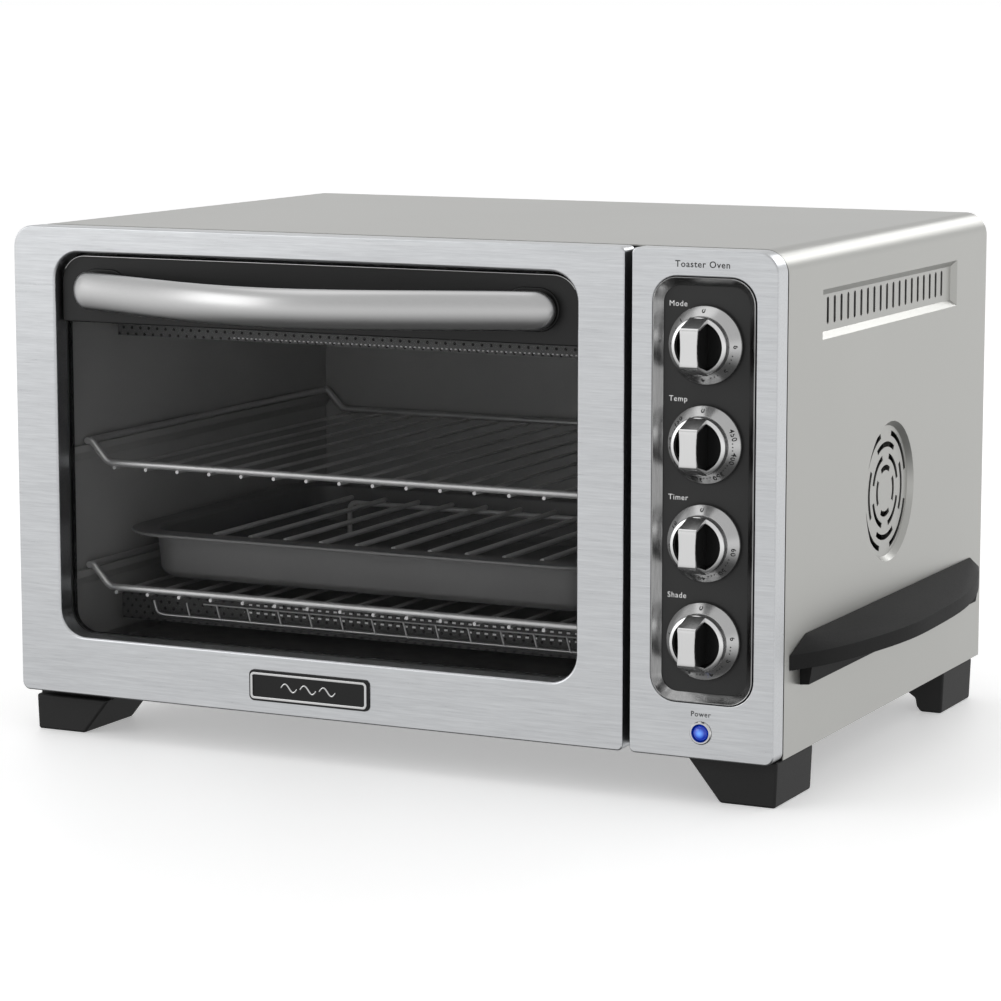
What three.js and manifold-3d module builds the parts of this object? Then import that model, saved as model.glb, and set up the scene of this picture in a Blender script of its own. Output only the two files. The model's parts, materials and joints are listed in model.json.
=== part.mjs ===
// Countertop convection toaster oven: a wrap-over steel body on four feet, a drop-down glass door,
// a column of four knobs, two wire racks, a drip pan with its grid, and a side fan.
// Millimetres, +Z up. The origin is the centre of the footprint, on the worktop.
// Inside the `oven` group x runs right from the middle, y runs back from the front face,
// and z runs up from the underside of the body.
import * as THREE from "three";
import { ConvexGeometry } from "three/addons/geometries/ConvexGeometry.js";
import { mergeVertices } from "three/addons/utils/BufferGeometryUtils.js";
import Module from "manifold-3d";

const wasm = await Module();
wasm.setup();

// ---- Driving dimensions ----------------------------------------------------------------------
const frontWidth = 460;
const frontHeight = 265;
const frontDepth = 13; // how deep the door and the control fascia are
const bodyDepth = 337; // front face to the back of the cover
const bodyHalfWidth = 229;
const footHeight = 25;
const sheet = 0.7; // thickness of the pressed sheets
const gap = 0.3; // between pieces that touch
const doorWidth = 375;
const seam = 4; // between the door and the control fascia
const coverFront = 17;
const coverRadius = 13;
const frameY = 18; // front of the fixed frame behind the door
const mouthHalfWidth = 167.5; // of the cavity
const cavityBack = 325;
const cavityRoof = 251;
const handleReach = 54; // door handle, in front of the front face
const glandReach = 6; // cord gland, behind the body
const pivotY = 8.5; // door hinge
const pivotZ = 6.8;
const earX = 172.4; // fixed hinge ear, from the door's middle
const armX = 178.3; // door's hinge arm
const knobPitch = 51.3;
const topKnobZ = 216;
const fanY = 175;
const fanZ = 120.5;

// ---- Derived places --------------------------------------------------------------------------
const doorX = -frontWidth / 2 + doorWidth / 2; // middle of the door and of the cavity
const fasciaWidth = frontWidth - doorWidth - seam;
const fasciaX = frontWidth / 2 - fasciaWidth / 2;
const frontY = (handleReach - bodyDepth - glandReach) / 2;
const windowHalfWidth = doorWidth / 2 - 26.5;
const windowBottom = 32;
const windowTop = 251.5;
const fanRightX = bodyHalfWidth - doorX; // right side of the body, from the door's middle
const wallX = mouthHalfWidth; // inner face of a cavity wall, from the door's middle

// ---- Solids ----------------------------------------------------------------------------------
function solidOf(geometry) {
  const loose = geometry.index ? geometry.toNonIndexed() : geometry;
  const bare = new THREE.BufferGeometry().setAttribute("position", loose.getAttribute("position"));
  const merged = mergeVertices(bare, 1e-3);
  const corners = [];
  for (let i = 0; i < merged.index.count; i += 3) {
    const [a, b, c] = [0, 1, 2].map((k) => merged.index.getX(i + k));
    if (a !== b && b !== c && a !== c) corners.push(a, b, c);
  }
  return new wasm.Manifold(
    new wasm.Mesh({
      numProp: 3,
      vertProperties: merged.attributes.position.array,
      triVerts: new Uint32Array(corners),
    }),
  );
}

function geometryOf(solid) {
  const mesh = solid.getMesh();
  return new THREE.BufferGeometry()
    .setAttribute("position", new THREE.BufferAttribute(mesh.vertProperties, 3))
    .setIndex(new THREE.BufferAttribute(mesh.triVerts, 1));
}

const join = (...pieces) => geometryOf(pieces.map(solidOf).reduce((whole, piece) => whole.add(piece)));

const cut = (body, ...tools) =>
  geometryOf(tools.map(solidOf).reduce((left, tool) => left.subtract(tool), solidOf(body)));

// ---- Shapes and primitives ---------------------------------------------------------------------
const block = (x0, x1, y0, y1, z0, z1) =>
  new THREE.BoxGeometry(x1 - x0, y1 - y0, z1 - z0).translate((x0 + x1) / 2, (y0 + y1) / 2, (z0 + z1) / 2);

const vector = (x, y, z) => new THREE.Vector3(x, y, z);

// A rectangle with its own radius at each corner: bottom left, bottom right, top right, top left.
function roundedRect(x0, x1, z0, z1, radii, path = new THREE.Shape()) {
  const [bl, br, tr, tl] = typeof radii === "number" ? [radii, radii, radii, radii] : radii;
  path.moveTo(x0 + bl, z0);
  path.lineTo(x1 - br, z0);
  path.absarc(x1 - br, z0 + br, br, -Math.PI / 2, 0, false);
  path.lineTo(x1, z1 - tr);
  path.absarc(x1 - tr, z1 - tr, tr, 0, Math.PI / 2, false);
  path.lineTo(x0 + tl, z1);
  path.absarc(x0 + tl, z1 - tl, tl, Math.PI / 2, Math.PI, false);
  path.lineTo(x0, z0 + bl);
  path.absarc(x0 + bl, z0 + bl, bl, Math.PI, 1.5 * Math.PI, false);
  return path;
}

const polygon = (points) => new THREE.Shape(points.map(([a, b]) => new THREE.Vector2(a, b)));

const extrude = (shape, depth, curveSegments) =>
  new THREE.ExtrudeGeometry(shape, { depth, bevelEnabled: false, curveSegments });

// A shape drawn in (x, z) and pushed along y, one in (y, z) along x, and one in (x, y) along z.
const alongY = (shape, y0, y1, segments = 5) =>
  extrude(shape, y1 - y0, segments).rotateX(Math.PI / 2).translate(0, y1, 0);
const alongX = (shape, x0, x1, segments = 5) =>
  extrude(shape, x1 - x0, segments)
    .applyMatrix4(new THREE.Matrix4().makeBasis(vector(0, 1, 0), vector(0, 0, 1), vector(1, 0, 0)))
    .translate(x0, 0, 0);
const alongZ = (shape, z0, z1, segments = 5) => extrude(shape, z1 - z0, segments).translate(0, 0, z0);

// A round bar between two points. Its radius may differ at the far end.
function rod(from, to, radius, sides = 8, endRadius = radius) {
  const run = to.clone().sub(from);
  const turn = new THREE.Quaternion().setFromUnitVectors(vector(0, 1, 0), run.clone().normalize());
  return new THREE.CylinderGeometry(endRadius, radius, run.length(), sides)
    .applyQuaternion(turn)
    .translate(...from.clone().add(to).multiplyScalar(0.5).toArray());
}

// A block whose x0 face is smaller than its x1 face by `inset` all round.
function taperedBlock(x0, x1, y0, y1, z0, z1, inset) {
  const body = new THREE.BoxGeometry(x1 - x0, y1 - y0, z1 - z0);
  const place = body.getAttribute("position");
  for (let i = 0; i < place.count; i += 1) {
    if (place.getX(i) < 0) {
      place.setY(i, place.getY(i) - Math.sign(place.getY(i)) * inset);
      place.setZ(i, place.getZ(i) - Math.sign(place.getZ(i)) * inset);
    }
  }
  return body.translate((x0 + x1) / 2, (y0 + y1) / 2, (z0 + z1) / 2);
}

// A turned piece round x, from a profile of [radius, x] points that climbs its outside.
const turnedX = (profile, sides) =>
  new THREE.LatheGeometry(
    profile.map(([r, x]) => new THREE.Vector2(r, x)),
    sides,
  ).rotateZ(-Math.PI / 2);
const turnedY = (profile, sides) =>
  new THREE.LatheGeometry(
    profile.map(([r, y]) => new THREE.Vector2(r, y)),
    sides,
  );

// ---- Materials ---------------------------------------------------------------------------------
const finish = (color, roughness, metalness) =>
  new THREE.MeshStandardMaterial({ color, roughness, metalness });
const brushedSteel = finish(0xc4c6c8, 0.35, 1);
const silverPaint = finish(0xb4b4ae, 0.5, 0.6);
const plainSteel = finish(0x9a9c9e, 0.5, 1);
const blackEnamel = finish(0x1c1c1c, 0.35, 0.3);
const cavityCoating = finish(0x3a3a3a, 0.6, 0.5);
const blackPlastic = finish(0x1a1a1a, 0.6, 0);
const chrome = finish(0xdcdcdc, 0.12, 1);
const rackWire = finish(0xc8c8c8, 0.25, 1);
const nonstick = finish(0x2c2c2e, 0.5, 0.3);
const elementSheath = finish(0x55504a, 0.6, 0.6);
const doorGlass = new THREE.MeshStandardMaterial({
  color: 0x202020,
  roughness: 0.05,
  transparent: true,
  opacity: 0.35,
});
const blueLens = finish(0x1f46e0, 0.2, 0);
const darkPlastic = finish(0x303236, 0.5, 0);

// ---- The tree ----------------------------------------------------------------------------------
const root = new THREE.Group();
const oven = new THREE.Group();
oven.position.set(0, frontY, footHeight);
root.add(oven);

function group(x = 0, y = 0, z = 0) {
  const made = new THREE.Group();
  made.position.set(x, y, z);
  oven.add(made);
  return made;
}

const body = group();
const cavity = group(doorX); // symmetric about x = 0
const door = group(doorX);
const controls = group(fasciaX);

function piece(parent, name, geometry, material) {
  const mesh = new THREE.Mesh(geometry, material);
  mesh.name = name;
  parent.add(mesh);
  return mesh;
}

// ---- Casing ------------------------------------------------------------------------------------
// One sector of a ring, in (y, z), for the fan grille's slots.
function ringSlot(radius, width, middle, span) {
  const arc = new THREE.Shape();
  arc.absarc(0, 0, radius + width / 2, middle - span / 2, middle + span / 2, false);
  arc.absarc(0, 0, radius - width / 2, middle + span / 2, middle - span / 2, true);
  return arc;
}

function fanGrilleSlots(x0, x1) {
  const slotWidth = 3;
  const rings = [32.5, 26, 19.5, 13];
  const slots = [];
  rings.forEach((radius, ring) => {
    for (let quarter = 0; quarter < 4; quarter += 1) {
      const middle = (quarter + (ring % 2 ? 0 : 0.5)) * (Math.PI / 2);
      slots.push(alongX(ringSlot(radius, slotWidth, middle, 1.05), x0, x1, 4).translate(0, fanY, fanZ));
    }
  });
  return slots;
}

function outerCover() {
  const half = bodyHalfWidth;
  const wrap = new THREE.Shape();
  wrap.moveTo(-half, 0);
  wrap.lineTo(-half + sheet, 0);
  wrap.lineTo(-half + sheet, frontHeight - coverRadius);
  wrap.absarc(-half + coverRadius, frontHeight - coverRadius, coverRadius - sheet, Math.PI, Math.PI / 2, true);
  wrap.lineTo(half - coverRadius, frontHeight - sheet);
  wrap.absarc(half - coverRadius, frontHeight - coverRadius, coverRadius - sheet, Math.PI / 2, 0, true);
  wrap.lineTo(half - sheet, 0);
  wrap.lineTo(half, 0);
  wrap.lineTo(half, frontHeight - coverRadius);
  wrap.absarc(half - coverRadius, frontHeight - coverRadius, coverRadius, 0, Math.PI / 2, false);
  wrap.lineTo(-half + coverRadius, frontHeight);
  wrap.absarc(-half + coverRadius, frontHeight - coverRadius, coverRadius, Math.PI / 2, Math.PI, false);
  const recess = 3;
  const ventLow = 214.5;
  const ventHigh = 241;
  const ventFront = 66;
  const ventBack = 284;
  const grilleRadius = 39.2;
  const grilleSlope = 2.7;
  const grilleDisc = (radius, x0, x1) =>
    rod(vector(x0, fanY, fanZ), vector(x1, fanY, fanZ), radius - grilleSlope, 40, radius);
  const slots = [];
  const slotPitch = 10.19;
  for (let i = 0; i < 20; i += 1) {
    const y = 69.6 + i * slotPitch;
    slots.push(block(half - 6, half, y, y + 3.2, 221.5, 236));
  }
  const withBosses = join(
    alongY(wrap, coverFront, bodyDepth, 6),
    taperedBlock(half - recess - sheet, half - sheet / 2, ventFront - 1, ventBack + 1, ventLow - 1, ventHigh + 1, 3.5),
    grilleDisc(grilleRadius + 1, half - recess - sheet, half - sheet / 2),
  );
  return cut(
    withBosses,
    taperedBlock(half - recess, half + 0.1, ventFront, ventBack, ventLow, ventHigh, 3.5),
    grilleDisc(grilleRadius, half - recess, half + 0.1),
    ...slots,
    ...fanGrilleSlots(half - 6, half),
  );
}

function basePan() {
  const half = bodyHalfWidth - 2 * sheet;
  const front = frameY + 4;
  const back = bodyDepth - 6;
  return cut(
    block(-half, half, front, back, 0, 16),
    block(-half + sheet, half - sheet, front + sheet, back - sheet, sheet, 20),
  );
}

function backPanel() {
  const half = bodyHalfWidth - sheet - gap;
  const plate = roundedRect(-half, half, gap, frontHeight - sheet - gap, [1, 1, 12, 12]);
  const louvres = [];
  for (let i = 0; i < 12; i += 1) {
    const x = 60 + i * 12;
    louvres.push(block(x, x + 4, 325, 345, 60, 130), block(x, x + 4, 325, 345, 150, 220));
  }
  const glandHole = rod(vector(200, 325, 30), vector(200, 345, 30), 8.4, 16);
  return cut(alongY(plate, bodyDepth - 4, bodyDepth - 4 + sheet), glandHole, ...louvres);
}

function frontFrame() {
  const half = bodyHalfWidth - sheet - gap;
  const plate = roundedRect(-half, half, 0.6, frontHeight - sheet - gap, [1, 1, 12, 12]);
  const mouth = roundedRect(doorX - mouthHalfWidth, doorX + mouthHalfWidth, 25, cavityRoof, 6);
  const hingeSlots = [-1, 1].flatMap((side) => {
    const arm = doorX + side * armX;
    const ear = doorX + side * earX;
    return [
      block(arm - 2.6, arm + 2.6, 15, 22, pivotZ + 38, pivotZ + 56),
      block(ear - 1.3, ear + 1.3, 15, 22, pivotZ - 5, pivotZ + 5),
    ];
  });
  const bushHoles = knobHeights().map((z) => rod(vector(fasciaX, 15, z), vector(fasciaX, 22, z), 6, 12));
  return cut(alongY(plate, frameY, frameY + 1), alongY(mouth, 15, 22), ...hingeSlots, ...bushHoles);
}

function knobHeights() {
  return [0, 1, 2, 3].map((i) => topKnobZ - i * knobPitch);
}

piece(body, "outer_cover", outerCover(), silverPaint);
piece(body, "base_pan", basePan(), plainSteel);
piece(body, "back_panel", backPanel(), silverPaint);
piece(body, "front_frame", frontFrame(), blackEnamel);

// ---- Feet, carrying handles and cord gland -----------------------------------------------------
// A foot stands at the corner of the base. Its outside is upright. A front foot slopes in on its
// inside, and a rear foot has an upright stem under a wider top.
const frontFoot = [
  [0, -gap],
  [1, -footHeight],
  [32, -footHeight],
  [52, -gap],
];
const rearFoot = [
  [0, -gap],
  [1, -footHeight],
  [14, -footHeight],
  [16.5, -footHeight + 3],
  [17.5, -17],
  [23, -13.5],
  [24, -gap],
];

function foot(outline, underDoor) {
  const whole = alongY(polygon(outline), 0, 52);
  const doorSwing = block(-5, 60, -5, 4.5, -4.6, 5);
  return underDoor ? cut(whole, doorSwing) : whole;
}

for (const [name, side, y] of [
  ["foot_front_left", -1, 11],
  ["foot_front_right", 1, 11],
  ["foot_rear_left", -1, 276],
  ["foot_rear_right", 1, 276],
]) {
  const outline = y < 100 ? frontFoot : rearFoot;
  const mesh = piece(body, name, foot(outline, name === "foot_front_left"), blackPlastic);
  mesh.position.set(side * 228, y, 0);
  mesh.scale.x = -side;
}

// A crescent ledge along the side: an upright rim, and a top that slopes up to a straight crest at
// the wall. The web under it is screwed to the cover.
function sideHandle() {
  const rim = [
    [0, 24],
    [11, 48],
    [20.4, 86],
    [27, 135],
    [27, 183],
    [23.7, 237],
    [16, 281],
    [8, 310],
    [0, 334],
  ].map(([x, y]) => vector(x, y, 0));
  const corners = [vector(0, 46.6, 62), vector(0, 317, 62)];
  for (const { x, y } of new THREE.CatmullRomCurve3(rim).getPoints(32)) {
    corners.push(vector(Math.max(x, 0), y, 46), vector(Math.max(x, 0), y, 54));
  }
  const webShape = polygon([
    [0, 36],
    [5, 36.5],
    [6.8, 47],
    [0, 47],
  ]);
  return join(new ConvexGeometry(corners), alongY(webShape, 39, 314)).translate(bodyHalfWidth + gap, 0, 0);
}

piece(body, "side_handle_right", sideHandle(), blackPlastic);
piece(body, "side_handle_left", sideHandle(), blackPlastic).scale.x = -1;

const glandProfile = [
  [0, -14],
  [7.8, -14],
  [7.8, 3.3],
  [12, 3.3],
  [11, 4 + glandReach],
  [0, 4 + glandReach],
];
piece(body, "cord_gland", turnedY(glandProfile, 16), blackPlastic).position.set(200, bodyDepth - 4, 30);

// ---- Cavity ------------------------------------------------------------------------------------
const rackHeights = [68, 140]; // middle of each rack's side rails
const elementPlaces = {
  upper_element_front: [84, 232],
  upper_element_rear: [262, 232],
  lower_element_front: [84, 42],
  lower_element_rear: [262, 42],
};
const cavityFront = frameY + 1.2 + gap;

// A pressed side wall with a ledge under each rack and a lip under the crumb tray. It is drawn as the
// right-hand wall.
function sideWall() {
  const ledgeDepth = 3.6;
  const inside = [
    [wallX - 8, 18],
    [wallX - 8, 19],
    [wallX, 19],
  ];
  const outside = [[wallX + sheet, 18]];
  for (const height of rackHeights) {
    const top = height - 2 - gap;
    inside.push([wallX, top - 9], [wallX - ledgeDepth, top - 4], [wallX - ledgeDepth, top], [wallX, top]);
    outside.push(
      [wallX + sheet, top - 8.2],
      [wallX - ledgeDepth + sheet, top - 3.2],
      [wallX - ledgeDepth + sheet, top - sheet],
      [wallX + sheet, top - sheet],
    );
  }
  inside.push([wallX, cavityRoof + 2]);
  outside.push([wallX + sheet, cavityRoof + 2]);
  const holes = Object.values(elementPlaces).map(([y, z]) =>
    rod(vector(wallX - 5, y, z), vector(wallX + 5, y, z), 4.6, 10),
  );
  return cut(alongY(polygon([...outside, ...inside.reverse()]), cavityFront, cavityBack), ...holes);
}

// The right wall lets the fan draw air through a block of upright slots.
function fanWall() {
  const slots = [-30, -20, -10, 0, 10, 20, 30].map((offset) =>
    block(wallX - 3, wallX + 3, fanY + offset - 2.5, fanY + offset + 2.5, 84, 126),
  );
  return cut(sideWall(), ...slots);
}

piece(cavity, "cavity_right_wall", fanWall(), cavityCoating);
piece(cavity, "cavity_left_wall", sideWall(), cavityCoating).scale.x = -1;
piece(
  cavity,
  "cavity_roof",
  block(-wallX + gap, wallX - gap, cavityFront, cavityBack, cavityRoof, cavityRoof + sheet),
  cavityCoating,
);
piece(
  cavity,
  "cavity_back_wall",
  block(-wallX - sheet, wallX + sheet, cavityBack + gap, cavityBack + gap + sheet, 17.5, cavityRoof + 2),
  cavityCoating,
);

// A straight tube with a ceramic bush outside each wall.
function heatingElement() {
  const tube = 4;
  const bush = 6;
  const end = wallX + sheet + gap;
  return turnedX(
    [
      [0, -end - 11],
      [bush, -end - 11],
      [bush, -end],
      [tube, -end],
      [tube, end],
      [bush, end],
      [bush, end + 11],
      [0, end + 11],
    ],
    12,
  );
}

for (const [name, [y, z]] of Object.entries(elementPlaces)) {
  piece(cavity, name, heatingElement(), elementSheath).position.set(0, y, z);
}

// A plain strip in front of each pair of elements.
function shieldStrip(low, high) {
  const half = wallX - 10;
  return block(-half, half, 60, 60 + sheet, low, high);
}

piece(cavity, "upper_element_shield", shieldStrip(199, cavityRoof - gap), nonstick);
piece(cavity, "lower_element_shield", shieldStrip(34, 51), nonstick);

// A low wire fence before the lower element keeps food off it. Its short wires lean a little.
function elementGuard() {
  const left = -wallX + 40.5;
  const right = wallX - 14;
  const wires = [
    rod(vector(left, 50, 39.8), vector(right, 50, 39.8), 1.2, 4),
    rod(vector(left - 2.5, 50, 47.6), vector(right, 50, 47.6), 1, 4),
  ];
  for (let x = left + 1.5; x < right; x += 20) {
    wires.push(rod(vector(x, 50, 39.4), vector(x - 2.4, 50, 48), 0.9, 4));
  }
  return join(...wires);
}

piece(cavity, "lower_element_guard", elementGuard(), rackWire);

function crumbTray() {
  const half = wallX - 1;
  const low = 19 + gap;
  return cut(
    block(-half, half, 27, 318, low, low + 6),
    block(-half + sheet, half - sheet, 27 + sheet, 318 - sheet, low + sheet, low + 10),
  );
}

piece(cavity, "crumb_tray", crumbTray(), plainSteel);

// ---- Racks, drip pan and grid -------------------------------------------------------------------
const rackDrop = 12; // the shelf hangs this far below its side rails
const rackFront = 38;
const rackRear = 318;

// Side rails, end wires that step down between them, and thin wires from front to back.
function wireRack() {
  const railX = wallX - 3.2;
  const bendX = wallX - 5.2;
  const shelfX = wallX - 16;
  const frameWire = 2;
  const parts = [];
  for (const side of [-1, 1]) {
    parts.push(rod(vector(side * railX, rackFront, 0), vector(side * railX, rackRear, 0), frameWire));
    for (const y of [rackFront, rackRear]) {
      parts.push(
        rod(vector(side * railX, y, 0), vector(side * (bendX - 1), y, 0), frameWire),
        rod(vector(side * bendX, y, 0.8), vector(side * shelfX, y, -rackDrop - 0.8), frameWire),
      );
    }
  }
  for (const y of [rackFront, rackRear]) {
    parts.push(rod(vector(-shelfX, y, -rackDrop), vector(shelfX, y, -rackDrop), frameWire));
  }
  for (let i = -7; i <= 7; i += 1) {
    const x = i * 20.85;
    parts.push(rod(vector(x, rackFront - 2, -rackDrop - 2.6), vector(x, rackRear + 2, -rackDrop - 2.6), 1, 4));
  }
  return join(...parts);
}

piece(cavity, "upper_rack", wireRack(), rackWire).position.z = rackHeights[1];
piece(cavity, "lower_rack", wireRack(), rackWire).position.z = rackHeights[0];

const panFloor = rackHeights[0] - rackDrop + 2 + gap;
const panRim = panFloor + 28.6;

// A shallow pan with sloping walls and a flat rim.
function dripPan() {
  const wall = (inset, z0, z1) => {
    const shape = roundedRect(-140.5 + inset, 140.5 - inset, 59 + inset, 272 - inset, 18);
    return new THREE.ExtrudeGeometry(shape, {
      depth: z1 - z0,
      steps: 1,
      bevelEnabled: false,
      curveSegments: 4,
    }).translate(0, 0, z0);
  };
  const rim = alongZ(roundedRect(-158, 158, 47, 284, 34), panRim - 1.5, panRim, 5);
  return cut(join(wall(0, panFloor, panRim), rim), wall(1.5, panFloor + 1.5, panRim + 5));
}

piece(cavity, "drip_pan", dripPan(), nonstick);

function broilGrid() {
  const half = 104.4;
  const front = 80;
  const rear = 240;
  const deck = panRim - 4;
  const wires = [];
  for (const y of [front, rear]) {
    wires.push(rod(vector(-half - 1.5, y, deck - 2), vector(half + 1.5, y, deck - 2), 1.5, 6));
    for (const x of [-half, half]) {
      wires.push(rod(vector(x, y, panFloor + 1.5 + gap), vector(x, y, deck - 1), 1.5, 6));
    }
  }
  for (let i = -4.5; i <= 4.5; i += 1) {
    wires.push(rod(vector(i * 23.2, front - 3, deck), vector(i * 23.2, rear + 3, deck), 1.4, 4));
  }
  return join(...wires);
}

piece(cavity, "broil_grid", broilGrid(), rackWire);

// ---- Fan: a motor outside the cavity turns a fan in the cavity wall and one that cools the motor --
const fan = group(doorX, fanY, fanZ);
const wallOut = wallX + sheet + gap;

piece(
  fan,
  "fan_housing",
  turnedX(
    [
      [8, wallOut + 25],
      [8, wallOut + 24],
      [40, wallOut + 24],
      [40, wallOut],
      [48, wallOut],
      [48, wallOut + sheet],
      [41, wallOut + sheet],
      [41, wallOut + 25],
      [8, wallOut + 25],
    ],
    24,
  ),
  plainSteel,
);

// A disc with blades that stand on its face.
function bladedDisc(radius, bladeHeight, count) {
  const parts = [rod(vector(0, 0, 0), vector(1.2, 0, 0), radius, 24), rod(vector(-8, 0, 0), vector(1.2, 0, 0), 7, 12)];
  for (let i = 0; i < count; i += 1) {
    parts.push(
      block(-bladeHeight, 0.6, 10, radius - 1, -0.5, 0.5)
        .rotateX(0.35)
        .rotateX((i * 2 * Math.PI) / count),
    );
  }
  return cut(join(...parts), rod(vector(-20, 0, 0), vector(20, 0, 0), 3.3, 12));
}

piece(fan, "convection_fan", bladedDisc(34, 12, 8), plainSteel).position.x = wallOut + 17;
piece(fan, "cooling_fan", bladedDisc(28, 10, 6), plainSteel).position.x = wallOut + 82;
piece(fan, "fan_shaft", rod(vector(wallOut + 8, 0, 0), vector(wallOut + 85, 0, 0), 3, 12), plainSteel);

function fanMotor() {
  const left = wallOut + 27;
  const stack = block(left + 6, left + 28, -30, 30, -38, 22);
  const bearings = rod(vector(left, 0, 0), vector(left + 34, 0, 0), 17, 16);
  const feet = block(left, left + 6.5, -44, 44, -8, 8);
  return cut(join(stack, bearings, feet), rod(vector(left - 5, 0, 0), vector(left + 50, 0, 0), 3.6, 12));
}

piece(fan, "fan_motor", fanMotor(), plainSteel);

// ---- Door --------------------------------------------------------------------------------------
const doorHalf = doorWidth / 2;

// Room in the door's back and underside for a fixed ear and for the arm beside it.
const hingeNotches = () =>
  [-1, 1].flatMap((side) => [
    block(side * earX - 3.2, side * earX + 3.2, pivotY - 6.8, 25, -5, pivotZ + 6.8),
    block(side * armX - 2.4, side * armX + 2.4, pivotY - 6.2, 25, pivotZ - 7, pivotZ + 56),
  ]);

// The pressed front: a face with a return round its outside and one round the window.
function doorFrame() {
  const outline = (inset) =>
    roundedRect(-doorHalf + inset, doorHalf - inset, inset, frontHeight - inset, [5, 3, 3, 12].map((r) => Math.max(r - inset, 0.8)));
  const window = (outset) =>
    roundedRect(
      -windowHalfWidth - outset,
      windowHalfWidth + outset,
      windowBottom - outset,
      windowTop + outset,
      17 + outset,
    );
  const wall = 1;
  const ring = cut(alongY(outline(0), 0, frontDepth), alongY(window(0), -5, 25));
  const hollow = cut(alongY(outline(wall), wall, 25), alongY(window(wall), -5, 30));
  const behindJamb = alongY(window(8), 11.4, 25);
  return cut(ring, hollow, behindJamb, ...hingeNotches());
}

piece(door, "door_frame", doorFrame(), brushedSteel);
piece(
  door,
  "door_glass",
  alongY(
    roundedRect(-windowHalfWidth - 6, windowHalfWidth + 6, windowBottom - 6, windowTop + 6, 20),
    11.6,
    15.1,
    3,
  ),
  doorGlass,
);

// The enamelled back of the door: a plate with a flange that turns forward into the front.
function doorLiner() {
  const pan = alongY(roundedRect(-doorHalf + 4, doorHalf - 4, 3, frontHeight - 4, 3), 4, 16.6, 2);
  const hollow = alongY(roundedRect(-doorHalf + 5, doorHalf - 5, 4, frontHeight - 5, 2), 0, 15.4, 2);
  const view = alongY(
    roundedRect(-windowHalfWidth + 1, windowHalfWidth - 1, windowBottom + 1, windowTop - 1, 14),
    0,
    25,
  );
  return cut(pan, hollow, view, ...hingeNotches());
}

piece(door, "door_liner", doorLiner(), blackEnamel);

const bandLow = 211.5;
const bandFront = 6;
piece(
  door,
  "handle_band",
  alongY(
    roundedRect(-windowHalfWidth + 1.5, windowHalfWidth - 1.5, bandLow, windowTop - 1.5, [1, 1, 15, 15]),
    bandFront,
    11.3,
  ),
  blackPlastic,
);

// A bar of oval section, bowed forward, whose ends meet the band.
function doorHandle() {
  const halfSpan = 148;
  const halfDepth = 6;
  const bow = handleReach - halfDepth;
  const section = new THREE.Shape();
  section.absellipse(0, 0, 10.5, halfDepth, 0, 2 * Math.PI, false, 0);
  class Bow extends THREE.Curve {
    getPoint(t, target = new THREE.Vector3()) {
      const u = (2 * t - 1) * 1.03;
      const parabola = 1 - u * u;
      const bell = (1 + Math.cos(Math.PI * u)) / 2;
      return target.set(halfSpan * u, (-bow * (parabola + bell)) / 2, 230);
    }
  }
  const bar = new THREE.ExtrudeGeometry(section, {
    extrudePath: new Bow(),
    steps: 20,
    bevelEnabled: false,
    curveSegments: 6,
  });
  return cut(bar, block(-250, 250, bandFront - gap, 60, 200, 260));
}

piece(door, "door_handle", doorHandle(), brushedSteel);

function badge() {
  const plate = alongY(roundedRect(-37.5, 37.5, 7.2, 24.6, 2.5), -1.6, -gap, 3);
  return cut(plate, alongY(roundedRect(-35.5, 35.5, 9.2, 22.6, 1.5), -5, -1, 3));
}

piece(door, "badge_plate", badge(), chrome);

// ---- Hinges: a fixed ear with a pin, and an arm on the door that curves through the frame --------
const armInner = 44;
const armOuter = 50;

function hingeArm() {
  const tail = THREE.MathUtils.degToRad(-5.8);
  const rootAngle = THREE.MathUtils.degToRad(88);
  const band = new THREE.Shape();
  band.absarc(0, 0, armOuter, tail, rootAngle, false);
  band.absarc(0, 0, armInner, rootAngle, tail, true);
  const shank = block(-1.25, 1.25, -2.5, 4.5, 4, 48);
  const eye = rod(vector(-1.25, 0, 0), vector(1.25, 0, 0), 5.6, 16);
  const arm = join(alongX(band, -1.25, 1.25, 12), shank, eye);
  return cut(arm, rod(vector(-5, 0, 0), vector(5, 0, 0), 2.9, 12));
}

// The ear comes forward through the fixed frame, and its pin points to the outside of the door.
function hingeEar() {
  const behindFrame = frameY + 1.2 + gap - pivotY;
  const ear = block(-0.8, 0.8, 0, behindFrame + 1.2, -4, 4);
  const nose = rod(vector(-0.8, 0, 0), vector(0.8, 0, 0), 5, 12);
  const flap = block(-0.8, 14, behindFrame, behindFrame + 1.2, -4, 9);
  const pin = rod(vector(-8.5, 0, 0), vector(0.4, 0, 0), 2.5, 12);
  return join(ear, nose, flap, pin);
}

for (const [hand, side] of [
  ["left", -1],
  ["right", 1],
]) {
  piece(door, `hinge_arm_${hand}`, hingeArm(), plainSteel).position.set(side * armX, pivotY, pivotZ);
  const ear = piece(body, `hinge_ear_${hand}`, hingeEar(), plainSteel);
  ear.position.set(doorX + side * earX, pivotY, pivotZ);
  ear.scale.x = -side;
}

// ---- Control column ----------------------------------------------------------------------------
const recessHalf = 28.7;
const recessLow = 29.5;
const recessHigh = 251;
const plateY = 4;

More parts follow.
